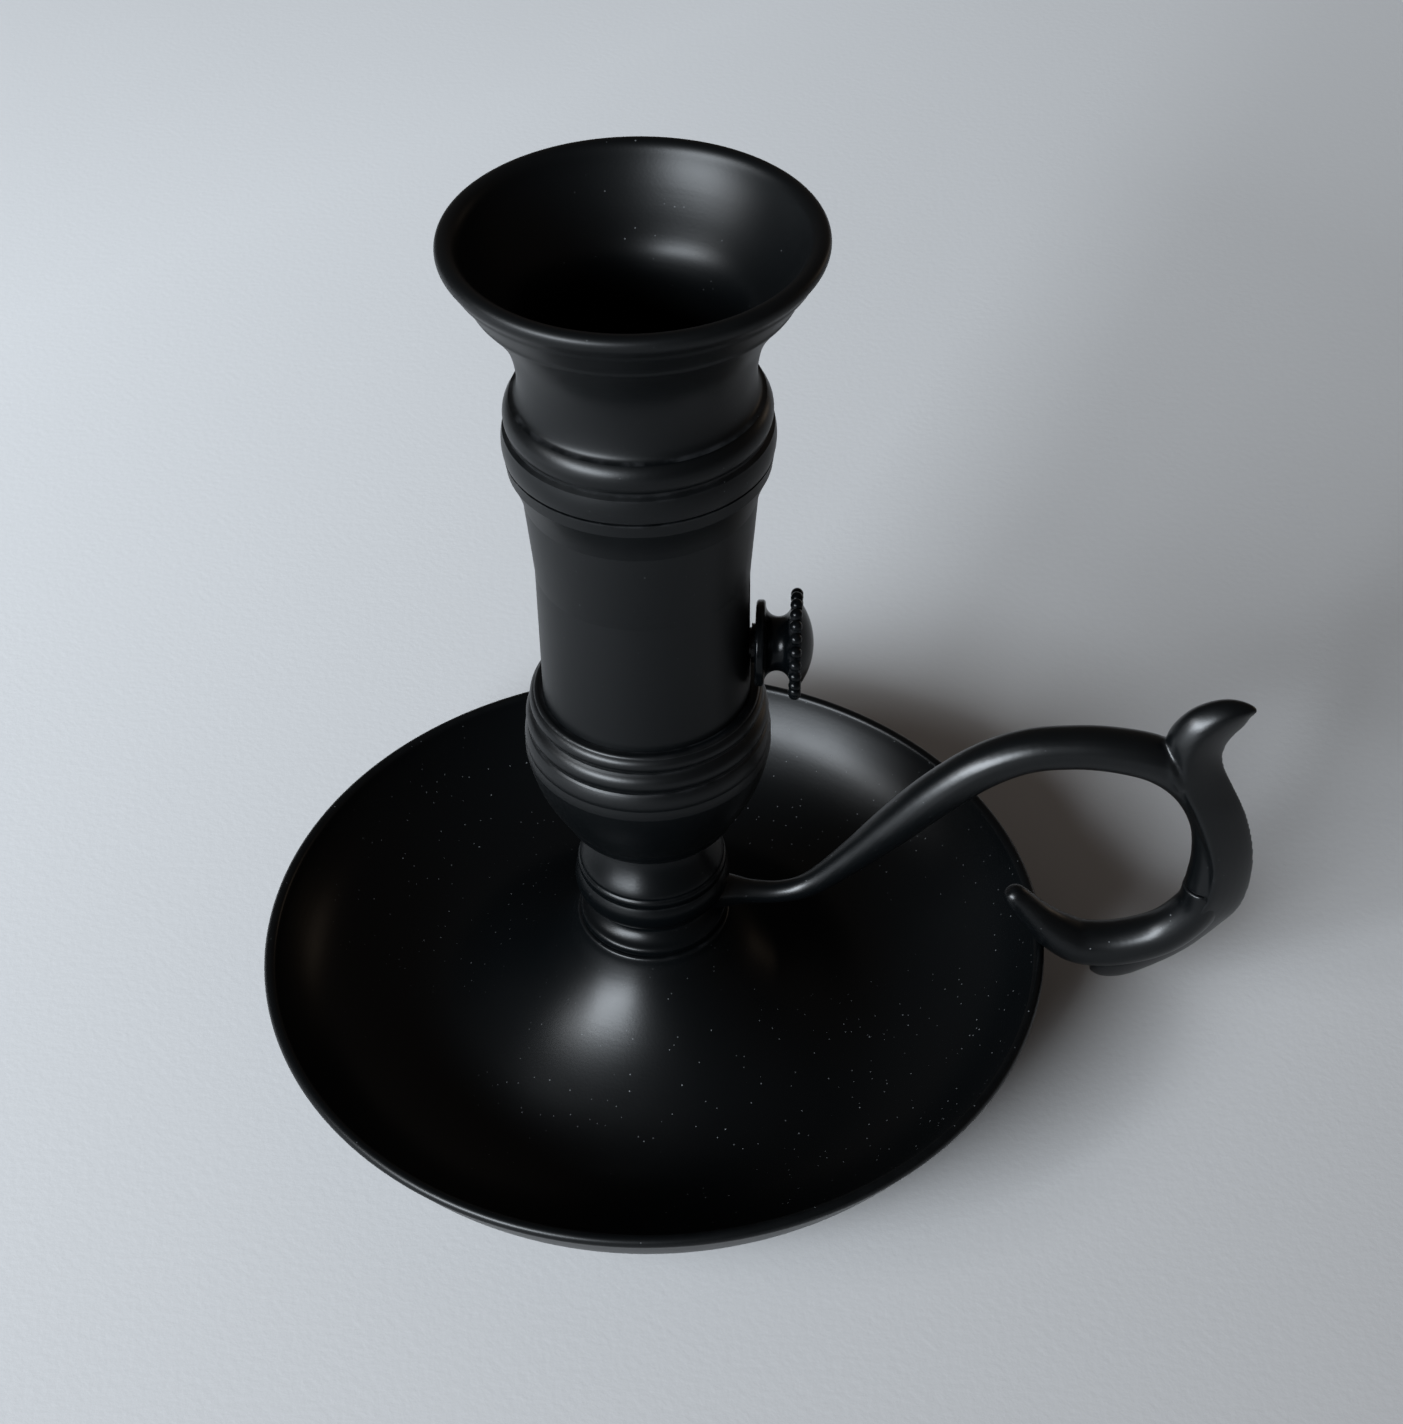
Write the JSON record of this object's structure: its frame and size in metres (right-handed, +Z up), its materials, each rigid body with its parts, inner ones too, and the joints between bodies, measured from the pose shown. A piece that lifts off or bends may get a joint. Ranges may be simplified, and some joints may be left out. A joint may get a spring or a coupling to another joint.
{
  "type": "chamberstick with finger loop",
  "caption": "Black lacquered chamberstick: drip pan, turned stem, reeded cup, candle tube with a flared mouth, sliding knob that raises the candle, and a cast finger loop with a thumb spur.",
  "frame": {"origin": "on the axis of the turned stem, in the plane that the pan stands on", "axes": "+Z up along the stem, +X towards the handle and the knob, +Y to the side"},
  "size_m": [0.1293, 0.104, 0.1214],
  "materials": {
    "pan_lacquer": "satin black lacquer",
    "stem_lacquer": "satin black lacquer",
    "cup_lacquer": "satin black lacquer",
    "tube_lacquer": "satin black lacquer",
    "collar_lacquer": "satin black lacquer",
    "mouth_lacquer": "satin black lacquer",
    "handle_lacquer": "satin black lacquer",
    "hook_lacquer": "satin black lacquer",
    "knob_lacquer": "glossier black lacquer",
    "bolt_steel": "plain",
    "stud_brass": "plain",
    "pusher_brass": "dull",
    "spring_brass": "rolled"
  },
  "bodies": {
    "stand": {"drip_pan": "pan_lacquer", "stem_knop": "stem_lacquer", "socket_cup": "cup_lacquer", "candle_tube": "tube_lacquer", "tube_collar": "collar_lacquer", "flared_mouth": "mouth_lacquer", "stem_bolt": "bolt_steel", "stem_washer": "bolt_steel", "stem_nut": "bolt_steel", "handle_arm": "handle_lacquer", "handle_stud": "stud_brass", "finger_hook": "hook_lacquer"},
    "pusher": {"candle_pusher": "pusher_brass", "screw_block": "pusher_brass", "friction_spring": "spring_brass", "spring_rivet": "stud_brass", "knob_flange": "knob_lacquer", "knob_spool": "knob_lacquer", "knob_rosette": "knob_lacquer", "knob_screw": "knob_lacquer"}
  },
  "joints": [
    {"name": "knob_slide", "type": "slide", "parent": "stand", "child": "pusher", "axis": [0, 0, 1], "range_m": [0, 0.01]}
  ]
}
